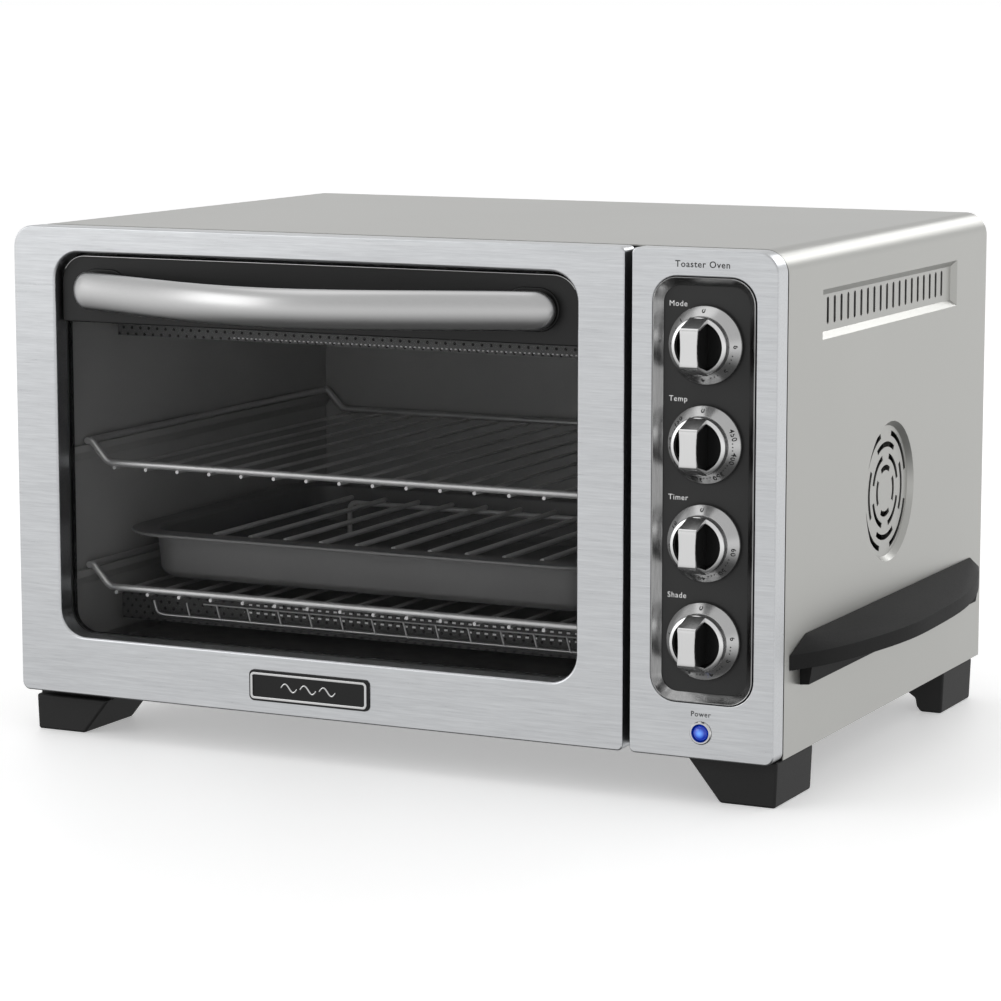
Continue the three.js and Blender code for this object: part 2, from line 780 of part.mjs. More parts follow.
function controlFascia() {
  const half = fasciaWidth / 2;
  const outline = (inset) =>
    roundedRect(-half + inset, half - inset, inset, frontHeight - inset, [3, 5, 12, 3].map((r) => Math.max(r - inset, 0.8)));
  const recess = (outset) =>
    roundedRect(-recessHalf - outset, recessHalf + outset, recessLow - outset, recessHigh + outset, 14 + outset);
  const wall = 1.2;
  const hollow = cut(alongY(outline(wall), wall, 25), alongY(recess(wall), -5, 30));
  const lampHole = rod(vector(0, -5, 14), vector(0, 8, 14), 5, 16);
  return cut(alongY(outline(0), 0, frontDepth), alongY(recess(0), -5, 25), hollow, lampHole);
}

// A chamfered frame that leads from the fascia down to the plate.
function controlBezel() {
  const outer = roundedRect(-recessHalf + gap, recessHalf - gap, recessLow + gap, recessHigh - gap, 13.7);
  const inner = roundedRect(-recessHalf + 4.7, recessHalf - 4.7, recessLow + 4.7, recessHigh - 4.7, 9.5);
  return cut(alongY(outer, 0, plateY - gap), alongY(inner, -5, 10));
}

function controlPlate() {
  const outline = roundedRect(-recessHalf + gap, recessHalf - gap, recessLow + gap, recessHigh - gap, 13.7);
  const holes = knobHeights().map((z) => rod(vector(0, 0, z), vector(0, 12, z), 3.6, 12));
  return cut(alongY(outline, plateY, plateY + 2), ...holes);
}

piece(controls, "control_fascia", controlFascia(), brushedSteel);
piece(controls, "control_bezel", controlBezel(), chrome);
piece(controls, "control_plate", controlPlate(), blackPlastic);

// A knob, drawn about y with its back at y = 0: a sloping skirt, a cup and a bar across it.
function knob() {
  const skirt = turnedY(
    [
      [0, -7],
      [12.5, -7],
      [12.5, -10],
      [14.5, -10],
      [20.5, -3],
      [20.5, 0],
      [0, 0],
    ],
    24,
  );
  const bar = alongX(
    polygon([
      [-6, -13.6],
      [-6, 13.6],
      [-10, 13.8],
      [-24, 10.5],
      [-24, -10.5],
      [-10, -13.8],
    ]),
    -5,
    5,
  );
  return cut(join(skirt, bar), rod(vector(0, -15, 0), vector(0, 5, 0), 3.3, 12));
}

const spindle = () => rod(vector(0, -14.5, 0), vector(0, 22, 0), 3, 12);

// Each control is a case behind the frame, with a bush that comes forward through it.
function controlCase(width, depth, height) {
  const back = frameY + 1.2 + gap;
  const housing = block(-width / 2, width / 2, back, back + depth, -height / 2, height / 2);
  const bush = rod(vector(0, 10, 0), vector(0, back + 1, 0), 5, 12);
  return cut(join(housing, bush), rod(vector(0, 0, 0), vector(0, back + 8, 0), 3.4, 12));
}

const controlSizes = {
  mode: ["mode_switch", 38, 28, 38],
  temperature: ["thermostat", 32, 22, 42],
  timer: ["timer", 46, 40, 44],
  toast: ["toast_regulator", 40, 24, 40],
};

Object.entries(controlSizes).forEach(([name, [caseName, width, depth, height]], i) => {
  const z = knobHeights()[i];
  piece(controls, caseName, controlCase(width, depth, height), darkPlastic).position.z = z;
  piece(controls, `${name}_spindle`, spindle(), plainSteel).position.set(0, plateY - gap, z);
  piece(controls, `${name}_knob`, knob(), chrome).position.set(0, plateY - gap, z);
});

const lampProfile = [
  [0, -1.5],
  [2.6, -1.3],
  [4.2, 0],
  [4.2, 14],
  [0, 14],
];
piece(controls, "power_lamp", turnedY(lampProfile, 16), blueLens).position.z = 14;
const lampRing = turnedY(
  [
    [4.5, -gap],
    [4.5, -1],
    [6.2, -0.8],
    [6.2, -gap],
    [4.5, -gap],
  ],
  16,
);
piece(controls, "lamp_ring", lampRing, chrome).position.z = 14;

export default root;
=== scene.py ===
"""A countertop toaster oven: brushed steel front, glass door, four knobs, racks, pan and side fan.

Sizes are in millimetres in the oven's own frame: x to the right from its middle, y back from its
front face, z up from the underside of its body. place() turns them into the scene's metres.
"""

import json
import math

import bmesh
import bpy
from mathutils import Matrix, Vector


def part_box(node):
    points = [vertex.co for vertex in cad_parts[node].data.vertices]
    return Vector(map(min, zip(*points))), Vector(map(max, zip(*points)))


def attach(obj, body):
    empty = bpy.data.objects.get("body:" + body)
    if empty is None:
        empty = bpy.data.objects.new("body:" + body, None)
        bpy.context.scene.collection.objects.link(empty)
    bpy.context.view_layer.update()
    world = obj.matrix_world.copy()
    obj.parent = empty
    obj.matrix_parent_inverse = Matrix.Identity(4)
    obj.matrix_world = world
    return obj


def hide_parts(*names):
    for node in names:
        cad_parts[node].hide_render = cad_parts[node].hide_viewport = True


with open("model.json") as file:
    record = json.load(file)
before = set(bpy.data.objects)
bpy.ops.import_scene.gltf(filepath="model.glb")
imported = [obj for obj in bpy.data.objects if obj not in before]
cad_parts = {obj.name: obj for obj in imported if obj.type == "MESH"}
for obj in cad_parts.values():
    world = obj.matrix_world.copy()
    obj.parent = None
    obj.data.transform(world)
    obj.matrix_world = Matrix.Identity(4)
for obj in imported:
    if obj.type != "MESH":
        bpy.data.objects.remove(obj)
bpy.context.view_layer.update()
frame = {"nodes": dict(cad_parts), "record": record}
MM = 0.001
ORIGIN = Vector((0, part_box("door_frame")[0].y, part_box("door_frame")[0].z))

# ---- Sizes that several pieces share -----------------------------------------------------------
DOOR_LEFT, DOOR_RIGHT = -230.0, 145.0
DOOR_MIDDLE = (DOOR_LEFT + DOOR_RIGHT) / 2
FASCIA_LEFT, FASCIA_RIGHT = 149.0, 230.0
FASCIA_MIDDLE = (FASCIA_LEFT + FASCIA_RIGHT) / 2
FRONT_TOP = 265.0
FRONT_DEPTH = 13.0
WINDOW_HALF, WINDOW_LOW, WINDOW_HIGH, WINDOW_ROUND = 160.6, 33.4, 250.6, 15.5
BAND_LOW, BAND_FACE = 211.5, 6.0
RECESS_HALF, RECESS_LOW, RECESS_HIGH, RECESS_ROUND = 28.7, 29.5, 251.0, 14.0
PLATE_FACE = 4.0
BODY_BACK = 337.0
WALL_HALF = 167.5
RACK_RAILS = {"lower_rack": 68.0, "upper_rack": 140.0}
RACK_DROP, RACK_FRONT, RACK_REAR = 12.0, 38.0, 318.0
PAN_FLOOR = RACK_RAILS["lower_rack"] - RACK_DROP + 2.3
PAN_RIM = PAN_FLOOR + 28.6
HINGE_Y, HINGE_Z, EAR_X, ARM_X = 8.5, 6.8, 172.4, 178.3
KNOBS = ("mode", "temperature", "timer", "toast")
KNOB_Z = {name: 216 - 51.3 * i for i, name in enumerate(KNOBS)}
LAMP_Z = 14.0
VENT_LOW, VENT_HIGH, VENT_FRONT, VENT_REAR = 221.5, 236.0, 66.0, 284.0
SCREWS = ((-214, 20), (-214, 130), (-214, 240), (214, 130), (214, 240), (0, 250), (0, 12), (214, 60))


def place(x, y, z):
    return Vector((x, y, z)) * MM + ORIGIN


# ---- Modelling moves ---------------------------------------------------------------------------
def only(obj):
    """Leaves obj as the one selected and active object."""
    bpy.ops.object.select_all(action="DESELECT")
    obj.select_set(True)
    bpy.context.view_layer.objects.active = obj
    return obj


def settled(name):
    """Names the object just added and moves its place into its mesh."""
    obj = bpy.context.object
    obj.name = obj.data.name = name
    only(obj)
    bpy.ops.object.transform_apply(location=True, rotation=True, scale=True)
    return obj


def block(name, low, high):
    low, high = place(*low), place(*high)
    bpy.ops.object.select_all(action="DESELECT")
    bpy.ops.mesh.primitive_cube_add(size=1, location=(low + high) / 2, scale=high - low)
    return settled(name)


def picked(obj, kind, test):
    """Enters edit mode with only the vertices, edges or faces that pass the test selected."""
    only(obj)
    bpy.ops.object.mode_set(mode="EDIT")
    bpy.ops.mesh.select_mode(type={"verts": "VERT", "edges": "EDGE", "faces": "FACE"}[kind])
    bpy.ops.mesh.select_all(action="DESELECT")
    shape = bmesh.from_edit_mesh(obj.data)
    for item in getattr(shape, kind):
        if test(item):
            item.select_set(True)
    shape.select_flush_mode()
    bmesh.update_edit_mesh(obj.data)


def done():
    bpy.ops.object.mode_set(mode="OBJECT")


def middle_of(item):
    corners = [v.co for v in item.verts]
    return (sum(corners, Vector()) / len(corners) - ORIGIN) / MM


def round_edges(obj, test, width, segments=3):
    """Rounds the edges that pass the test, which is given each edge's middle and its direction."""

    def chosen(edge):
        a, b = (v.co for v in edge.verts)
        return (b - a).length > 1e-9 and test(middle_of(edge), (b - a).normalized())

    picked(obj, "edges", chosen)
    bpy.ops.mesh.bevel(offset=width * MM, segments=segments, affect="EDGES")
    done()
    return obj


def slab(name, x0, x1, z0, z1, y0, y1, radii, segments=10):
    """A front-facing plate with radii for its bottom left, bottom right, top right, top left."""
    obj = block(name, (x0, y0, z0), (x1, y1, z1))
    if not isinstance(radii, (tuple, list)):
        radii = (radii,) * 4
    for (x, z), radius in zip(((x0, z0), (x1, z0), (x1, z1), (x0, z1)), radii):
        if radius:
            round_edges(
                obj,
                lambda m, d: max(abs(m.x - x), abs(m.z - z)) < 0.01 and abs(d.y) > 0.99,
                radius,
                segments,
            )
    return obj


def carve(obj, *tools):
    """Cuts the tools out of obj and removes them."""
    for tool in tools:
        only(obj)
        modifier = obj.modifiers.new("cut", "BOOLEAN")
        modifier.operation, modifier.object, modifier.solver = "DIFFERENCE", tool, "EXACT"
        bpy.ops.object.modifier_apply(modifier=modifier.name)
        bpy.data.objects.remove(tool)
    return obj


def soften(obj, width, segments=2, angle=35, smooth=40):
    """Rounds every sharp edge and shades the rest smooth."""
    only(obj)
    modifier = obj.modifiers.new("round", "BEVEL")
    modifier.width, modifier.segments = width * MM, segments
    modifier.limit_method, modifier.angle_limit = "ANGLE", math.radians(angle)
    modifier.use_clamp_overlap, modifier.harden_normals = True, True
    bpy.ops.object.modifier_apply(modifier=modifier.name)
    return smoothed(obj, smooth)


def smoothed(obj, angle=40):
    """Shades all but the sharp edges smooth, and keeps the large flats flat."""
    only(obj)
    bpy.ops.object.shade_smooth_by_angle(angle=math.radians(angle))
    modifier = obj.modifiers.new("even", "WEIGHTED_NORMAL")
    modifier.keep_sharp, modifier.weight = True, 90
    bpy.ops.object.modifier_apply(modifier=modifier.name)
    return obj


def joined(name, pieces):
    bpy.ops.object.select_all(action="DESELECT")
    for piece in pieces:
        piece.select_set(True)
    bpy.context.view_layer.objects.active = pieces[0]
    bpy.ops.object.join()
    pieces[0].name = pieces[0].data.name = name
    return pieces[0]


def turned(name, centre, profile, steps=64, close=True):
    """A piece turned about y: a ring drawn out step by step along (radius, distance) points."""
    centre, along = place(*centre), Vector((0, 1, 0))
    radius, distance = profile[0]
    bpy.ops.object.select_all(action="DESELECT")
    bpy.ops.mesh.primitive_circle_add(
        vertices=steps,
        radius=max(radius, 0.01) * MM,
        location=centre + along * distance * MM,
        rotation=(math.pi / 2, 0, 0),
        fill_type="NGON" if close else "NOTHING",
    )
    obj = settled(name)
    picked(obj, "edges", lambda e: True)
    for new_radius, new_distance in profile[1:]:
        bpy.ops.mesh.extrude_edges_move(
            TRANSFORM_OT_translate={"value": along * (new_distance - distance) * MM}
        )
        ratio = max(new_radius, 0.01) / max(radius, 0.01)
        bpy.ops.transform.resize(
            value=(ratio, 1, ratio),
            center_override=centre + along * new_distance * MM,
        )
        radius, distance = new_radius, new_distance
    if close:
        bpy.ops.mesh.edge_face_add()
    bpy.ops.mesh.select_all(action="SELECT")
    bpy.ops.mesh.remove_doubles(threshold=2e-6)
    bpy.ops.mesh.normals_make_consistent(inside=False)
    done()
    return smoothed(obj)


def wire(name, points, radius, sides=4, radii=None, closed=False):
    """A round bar through the points. radii scales it at each point."""
    bpy.ops.object.select_all(action="DESELECT")
    bpy.ops.curve.primitive_nurbs_path_add()
    obj = bpy.context.object
    curve = obj.data
    curve.splines.clear()
    spline = curve.splines.new("POLY")
    spline.points.add(len(points) - 1)
    for i, point in enumerate(points):
        spline.points[i].co = (*(place(*point) - obj.location), 1)
        spline.points[i].radius = radii[i] if radii else 1
    spline.use_cyclic_u = closed
    curve.bevel_depth, curve.bevel_resolution = radius * MM, sides // 2 - 1
    curve.use_fill_caps = not closed
    only(obj)
    bpy.ops.object.convert(target="MESH")
    return smoothed(settled(name), 50)


def bent(points, radius, steps=5):
    """The points of a path whose inner corners are rounded off to a radius."""
    path = [Vector(points[0])]
    for before, corner, after in zip(points, points[1:], points[2:]):
        corner = Vector(corner)
        back, ahead = Vector(before) - corner, Vector(after) - corner
        reach = min(radius, back.length * 0.45, ahead.length * 0.45)
        a, b = corner + back.normalized() * reach, corner + ahead.normalized() * reach
        for i in range(steps + 1):
            t = i / steps
            path.append(a * (1 - t) ** 2 + corner * 2 * t * (1 - t) + b * t * t)
    return path + [Vector(points[-1])]


def lettering(name, words, x, y, z, height, facing=None, raise_by=0.1, weight=0.012):
    """Thin raised words that face the front, with their middle at (x, z)."""
    bpy.ops.object.select_all(action="DESELECT")
    bpy.ops.object.text_add()
    obj = bpy.context.object
    obj.data.body = words
    obj.data.size = height * MM
    obj.data.align_x, obj.data.align_y = "CENTER", "CENTER"
    obj.data.extrude = raise_by * MM / 2
    obj.data.offset = height * weight * MM
    obj.data.resolution_u = 3
    obj.data.space_character = 1.12
    only(obj)
    bpy.ops.object.convert(target="MESH")
    upright = Matrix.Translation(place(x, y, z)) @ Matrix.Rotation(math.pi / 2, 4, "X")
    obj.matrix_world = facing or upright
    return settled(name)


# ---- Shader kit --------------------------------------------------------------------------------
class Socket:
    """A node's output that can be used in sums."""

    def __init__(self, tree, output):
        self.tree, self.output = tree, output

    def _math(self, operation, *values):
        return node(self.tree, "ShaderNodeMath", {"operation": operation}, dict(enumerate(values)))

    def __add__(self, other):
        return self._math("ADD", self, other)

    __radd__ = __add__

    def __sub__(self, other):
        return self._math("SUBTRACT", self, other)

    def __rsub__(self, other):
        return self._math("SUBTRACT", other, self)

    def __mul__(self, other):
        return self._math("MULTIPLY", self, other)

    __rmul__ = __mul__

    def __gt__(self, other):
        return self._math("GREATER_THAN", self, other)

    def __lt__(self, other):
        return self._math("LESS_THAN", self, other)


def node(tree, kind, settings=None, sockets=None, output=0):
    """Adds a node: its settings first, then the values and links of its sockets."""
    made = tree.nodes.new(kind)
    for key, value in (settings or {}).items():
        if key == "stops":
            stops = made.color_ramp.elements
            while len(stops) < len(value):
                stops.new(1)
            for stop, (position, colour) in zip(stops, value):
                stop.position, stop.color = position, colour
        else:
            setattr(made, key, value)
    for key, value in (sockets or {}).items():
        if isinstance(value, Socket):
            tree.links.new(value.output, made.inputs[key])
        else:
            made.inputs[key].default_value = value
    return Socket(tree, made.outputs[output])


def grey(level, tint=(1, 1, 1)):
    return (level * tint[0], level * tint[1], level * tint[2], 1)


def blend(tree, factor, first, second):
    return node(
        tree, "ShaderNodeMix", {"data_type": "RGBA"}, {0: factor, 6: first, 7: second}, output=2
    )


def grain(tree, scale, detail=3, stretch=(1, 1, 1), rough=0.5):
    """Noise from 0 to 1 on the object's own coordinates, squeezed along each axis by stretch."""
    coordinates = node(tree, "ShaderNodeTexCoord", output=3)
    fitted = node(tree, "ShaderNodeMapping", {}, {0: coordinates, 3: stretch})
    sockets = {"Vector": fitted, "Scale": scale, "Detail": detail, "Roughness": rough}
    return node(tree, "ShaderNodeTexNoise", {}, sockets)


def finish_of(name, build, **fixed):
    """A material whose Principled shader takes fixed values and what build(tree) returns."""
    material = bpy.data.materials.new(name)
    material.use_nodes = True
    tree = material.node_tree
    tree.nodes.clear()
    shader = tree.nodes.new("ShaderNodeBsdfPrincipled")
    output = tree.nodes.new("ShaderNodeOutputMaterial")
    tree.links.new(shader.outputs[0], output.inputs[0])
    for key, value in fixed.items():
        shader.inputs[key.replace("_", " ")].default_value = value
    for key, value in build(tree).items():
        tree.links.new(value.output, shader.inputs[key])
    return material


def bump(tree, height, distance):
    sockets = {"Height": height, "Distance": distance * MM, "Strength": 1.0}
    return node(tree, "ShaderNodeBump", {}, sockets)


# ---- Finishes ----------------------------------------------------------------------------------
def brushed(name, stretch, dark, light, rough=0.3, depth=0.012, contrast=1.8):
    """Steel with fine streaks along the axis that stretch leaves long, and broad soft cloudiness."""

    def build(tree):
        streaks = grain(tree, 60, 3, stretch, 0.6)
        hair = grain(tree, 210, 2, stretch, 0.6)
        cloud = grain(tree, 7, 2)
        mix = streaks * 0.6 + hair * 0.4
        strong = (mix - 0.5) * contrast + 0.5
        return {
            "Base Color": blend(tree, strong * 0.75 + cloud * 0.25, dark, light),
            "Roughness": rough - 0.08 + mix * 0.16,
            "Normal": bump(tree, mix, depth),
        }

    return finish_of(name, build, Metallic=1.0)


WARM_SILVER = (1, 1, 0.955)


def satin_paint():
    def build(tree):
        fleck = grain(tree, 2600, 2)
        cloud = grain(tree, 6, 2)
        return {
            "Base Color": blend(
                tree, fleck * 0.5 + cloud * 0.5, grey(0.41, WARM_SILVER), grey(0.5, WARM_SILVER)
            ),
            "Roughness": 0.28 + fleck * 0.1,
            "Normal": bump(tree, fleck, 0.01),
        }

    return finish_of("satin_silver_paint", build, Metallic=0.8)


def grained_black(name, level, rough, scale, depth, shine=0.3):
    def build(tree):
        pebble = grain(tree, scale, 3)
        cloud = grain(tree, 20, 2)
        return {
            "Base Color": blend(tree, cloud, grey(level * 0.8), grey(level * 1.25)),
            "Roughness": rough - 0.06 + pebble * 0.12,
            "Normal": bump(tree, pebble, depth),
        }

    return finish_of(name, build, Specular_IOR_Level=shine)


def bright_plate(name, level=0.66, rough=0.07):
    def build(tree):
        smudge = grain(tree, 45, 3)
        return {
            "Base Color": blend(tree, smudge, grey(level * 0.92), grey(level)),
            "Roughness": rough + smudge * 0.07,
        }

    return finish_of(name, build, Metallic=1.0)


def rack_plating(name="rack_plating", low=0.62, high=0.8, metal=0.7):
    def build(tree):
        dull = grain(tree, 60, 3)
        return {
            "Base Color": blend(tree, dull, grey(low), grey(high)),
            "Roughness": 0.3 + dull * 0.12,
        }

    return finish_of(name, build, Metallic=metal)


def zinc_sheet():
    def build(tree):
        coordinates = node(tree, "ShaderNodeTexCoord", output=3)
        spangle = node(
            tree, "ShaderNodeTexVoronoi", {}, {"Vector": coordinates, "Scale": 130.0}, output=0
        )
        return {
            "Base Color": blend(tree, spangle, grey(0.34), grey(0.5)),
            "Roughness": 0.38 + spangle * 0.15,
        }

    return finish_of("zinc_sheet", build, Metallic=0.9)


def oven_coating():
    def build(tree):
        speck = grain(tree, 1700, 2)
        cloud = grain(tree, 10, 3)
        return {
            "Base Color": blend(tree, cloud * 0.6 + speck * 0.4, grey(0.36), grey(0.52, (1, 1, 0.99))),
            "Roughness": 0.5 + speck * 0.15,
            "Normal": bump(tree, speck, 0.015),
        }

    return finish_of("oven_coating", build, Metallic=0.25)


HOLE_PITCH_X, HOLE_PITCH_Z = 0.0056, 0.0036


def perforated(name, level, highlight_rows, highlight_from, pitch, high, shine):
    """Dark sheet with staggered small round holes painted near-black as painted shade, and rows of
    pressed slots whose lips carry a painted highlight.
    """

    def build(tree):
        coordinates = node(tree, "ShaderNodeTexCoord", output=3)
        x, z = (node(tree, "ShaderNodeSeparateXYZ", {}, {0: coordinates}, output=i) for i in (0, 2))
        row = z._math("FLOOR", z * (1 / HOLE_PITCH_Z))
        odd = row._math("MODULO", row, 2.0)
        across = x * (1 / HOLE_PITCH_X) + odd * 0.5
        u = across._math("FRACT", across + 100.0) - 0.5
        v = z._math("FRACT", z * (1 / HOLE_PITCH_Z) + 100.0) - 0.5
        # The holes are painted near-black: painted shade for the dark seen through them.
        hole = (u * u * 2.6 + v * v) < 0.06
        along = x._math("FRACT", x * (1 / pitch) + 100.0)
        # The lip rows, right of a given x, are painted bright: a painted highlight on the pressed slots'
        # lips.
        lip = 0.0
        for height in highlight_rows:
            off = z - place(0, 0, height).z
            lip = (off._math("ABSOLUTE", off) < high) + lip
        lip = lip * (along < 0.42) * (x > place(highlight_from, 0, 0).x)
        speck = grain(tree, 900, 2)
        sheet = blend(tree, speck, grey(level), grey(level * 1.7))
        return {
            "Base Color": blend(tree, lip, blend(tree, hole, sheet, grey(0.004)), grey(shine)),
            "Roughness": 0.45 + speck * 0.15,
        }

    return finish_of(name, build, Metallic=0.3)


def pan_coating():
    def build(tree):
        speck = grain(tree, 2600, 2)
        cloud = grain(tree, 14, 3)
        return {
            "Base Color": blend(tree, cloud * 0.5 + speck * 0.5, grey(0.13), grey(0.21)),
            "Roughness": 0.42 + speck * 0.14,
            "Normal": bump(tree, speck, 0.01),
        }

    return finish_of("pan_coating", build, Metallic=0.2)


def element_skin():
    def build(tree):
        heat = grain(tree, 30, 3)
        return {
            "Base Color": blend(tree, heat, grey(0.16, (1, 0.95, 0.9)), grey(0.3, (1, 0.97, 0.95))),
            "Roughness": 0.45 + heat * 0.2,
        }

    return finish_of("element_skin", build, Metallic=0.6)


def smoked_glass():
    """Thin clear glass: mostly see-through, with a mirror-like sheen at shallow angles."""
    material = finish_of(
        "door_glass",
        lambda tree: {"Base Color": blend(tree, grain(tree, 3, 1), grey(0.02), grey(0.03))},
        Roughness=0.03,
        Specular_IOR_Level=0.5,
    )
    tree = material.node_tree
    surface = next(n for n in tree.nodes if n.type == "BSDF_PRINCIPLED")
    output = next(n for n in tree.nodes if n.type == "OUTPUT_MATERIAL")
    clear = node(tree, "ShaderNodeBsdfTransparent", {}, {0: grey(0.94)})
    edge = node(tree, "ShaderNodeLayerWeight", {}, {0: 0.12})
    sheen = Socket(tree, surface.outputs[0])
    mixed = node(tree, "ShaderNodeMixShader", {}, {0: edge * 0.7 + 0.03, 1: clear, 2: sheen})
    tree.links.new(mixed.output, output.inputs[0])
    return material


def lit_lens():
    """Deep blue, with a paler glow at the middle of the lens."""

    def build(tree):
        glow = grain(tree, 260, 2)
        coordinates = node(tree, "ShaderNodeTexCoord", output=3)
        from_middle = node(
            tree,
            "ShaderNodeVectorMath",
            {"operation": "SUBTRACT"},
            {0: coordinates, 1: place(FASCIA_MIDDLE, -2, LAMP_Z)},
        )
        reach = node(tree, "ShaderNodeVectorMath", {"operation": "LENGTH"}, {0: from_middle}, output=1)
        spot = reach._math("SMOOTH_MIN", 1 - reach * (1 / 0.0029), 1.0, 0.2)
        spot = spot._math("MAXIMUM", spot, 0.0)
        return {
            "Base Color": blend(tree, glow, (0.003, 0.012, 0.2, 1), (0.01, 0.04, 0.4, 1)),
            "Emission Color": blend(tree, spot, (0.0, 0.012, 0.16, 1), (0.16, 0.42, 1.0, 1)),
        }

    return finish_of("blue_lens", build, Roughness=0.12, Emission_Strength=1.0, Coat_Weight=0.5)


def ink(name, level):
    def build(tree):
        worn = grain(tree, 900, 2)
        return {"Base Color": blend(tree, worn, grey(level * 0.85), grey(level))}

    return finish_of(name, build, Roughness=0.5)


ALONG_X = (0.5, 14, 14)
FINISH = {
    "brushed_steel": brushed(
        "brushed_steel", ALONG_X, grey(0.46, (0.98, 1, 1.03)), grey(0.76, (0.98, 1, 1.02))
    ),
    "handle_steel": brushed("handle_steel", (0.4, 10, 10), grey(0.5), grey(0.6), 0.33, 0.001, 0.8),
    "silver_paint": satin_paint(),
    "plain_steel": zinc_sheet(),
    "black_enamel": grained_black("black_enamel", 0.018, 0.28, 500, 0.01),
    "cavity_coating": oven_coating(),
    "black_plastic": grained_black("black_plastic", 0.012, 0.55, 1500, 0.06, 0.28),
    "chrome": bright_plate("chrome"),
    "rack_wire": rack_plating(),
    "nonstick": pan_coating(),
    "element_sheath": element_skin(),
    "door_glass": smoked_glass(),
    "blue_lens": lit_lens(),
    "dark_plastic": grained_black("dark_plastic", 0.05, 0.5, 900, 0.03),
}
BLACK_SATIN = grained_black("black_satin", 0.008, 0.36, 900, 0.01)
BLACK_MATT = grained_black("black_matt", 0.022, 0.5, 1400, 0.02)
BLACK_INSERT = grained_black("black_insert", 0.006, 0.3, 700, 0.008)
WHITE_INK = ink("white_ink", 0.85)
DARK_INK = ink("dark_ink", 0.02)
# Both shield sheets carry painted shade in their holes and a painted highlight on their lip rows.
LOWER_HOLES = perforated("lower_holes", 0.05, (48.0, 43.5), -118, 0.005, 0.0005, 0.8)
UPPER_HOLES = perforated("upper_holes", 0.08, (200.5,), -125, 0.0028, 0.00035, 0.6)
# A darker copy of the fascia's brushed steel for the bezel's sloping ring: painted shade on the slope.
SHADED_BEZEL_STEEL = brushed("shaded_bezel_steel", (6, 6, 0.6), grey(0.2), grey(0.42), 0.2, 0.004)
# Near-black finish for the fan parts: painted shade for their place deep inside the casing.
FAN_SHADE_BLACK = grained_black("fan_shade_black", 0.02, 0.5, 600, 0.01, 0.2)
SPUN_CHROME = bright_plate("spun_chrome", 0.56, 0.2)
SATIN_CHROME = bright_plate("satin_chrome", 0.74, 0.2)
LEDGE_PLASTIC = grained_black("ledge_plastic", 0.009, 0.6, 900, 0.05, 0.14)
RING_CHROME = bright_plate("ring_chrome", 0.86, 0.24)
GUARD_WIRE = bright_plate("guard_wire", 0.42, 0.3)
GRID_WIRE = rack_plating("grid_plating", 0.72, 0.9, 0.3)


def dress(obj, body, slot, *nodes, material=None):
    """Gives a piece its finish, its body and the nodes it stands for."""
    obj.data.materials.clear()
    obj.data.materials.append(material or FINISH[slot])
    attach(obj, body)
    if nodes:
        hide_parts(*nodes)
    return obj


def dress_frame():
    """Every CAD node takes the finish of its slot."""
    slots = {s["node"]: s["material_slot"] for s in frame["record"]["subparts"]}
    for name, obj in frame["nodes"].items():
        for slot in obj.material_slots:
            slot.material = FINISH[slots[name]]
    frame["nodes"]["control_plate"].material_slots[0].material = BLACK_MATT
    frame["nodes"]["upper_element_shield"].material_slots[0].material = UPPER_HOLES
    frame["nodes"]["lower_element_shield"].material_slots[0].material = LOWER_HOLES
    # The fan parts take the near-black finish: painted shade, as they sit in the dark inside the casing.
    for name in ("fan_motor", "cooling_fan", "fan_housing", "fan_shaft"):
        frame["nodes"][name].material_slots[0].material = FAN_SHADE_BLACK


# ---- Door --------------------------------------------------------------------------------------
def hinge_pockets():
    """Room in the door for the fixed hinge ears and for the arms beside them."""
    for side in (-1, 1):
        ear, arm = DOOR_MIDDLE + side * EAR_X, DOOR_MIDDLE + side * ARM_X
        yield block("pocket", (ear - 3.2, HINGE_Y - 6.8, -5), (ear + 3.2, 25, HINGE_Z + 6.8))
        yield block("pocket", (arm - 2.4, HINGE_Y - 6.2, -5), (arm + 2.4, 25, HINGE_Z + 56))


def front_panel(name, x0, x1, radii, opening, edge, lip):
    """A pressed steel front: face, outer return and a return round its opening."""
    wall = 1.0
    ox, half, low, high, radius = opening
    around = lambda grow, y0, y1: slab(
        "tool", ox - half - grow, ox + half + grow, low - grow, high + grow, y0, y1, radius + grow
    )
    panel = slab(name, x0, x1, 0, FRONT_TOP, 0, FRONT_DEPTH, radii)
    round_edges(panel, lambda m, d: m.y < 0.01 and abs(d.y) < 0.01, edge, 4)
    inner = [max(r - wall, 0) for r in radii]
    hollow = slab("tool", x0 + wall, x1 - wall, wall, FRONT_TOP - wall, wall + edge * 0.4, 30, inner)
    carve(panel, around(0, -5, 30))
    round_edges(
        panel,
        lambda m, d: m.y < 0.01
        and abs(d.y) < 0.01
        and abs(m.x - ox) < half + 0.1
        and low - 0.1 < m.z < high + 0.1,
        lip,
        5,
    )
    return carve(panel, carve(hollow, around(wall, -5, 40)))


def door_front():
    window = (DOOR_MIDDLE, WINDOW_HALF, WINDOW_LOW, WINDOW_HIGH, WINDOW_ROUND)
    panel = front_panel("door_front", DOOR_LEFT, DOOR_RIGHT, (5, 3, 3, 12), window, 0.9, 1.6)
    carve(panel, slab("tool", DOOR_MIDDLE - 169, DOOR_MIDDLE + 169, 26, 259.5, 11.4, 30, 20))
    carve(panel, *hinge_pockets())
    dress(smoothed(panel, 30), "door", "brushed_steel", "door_frame")


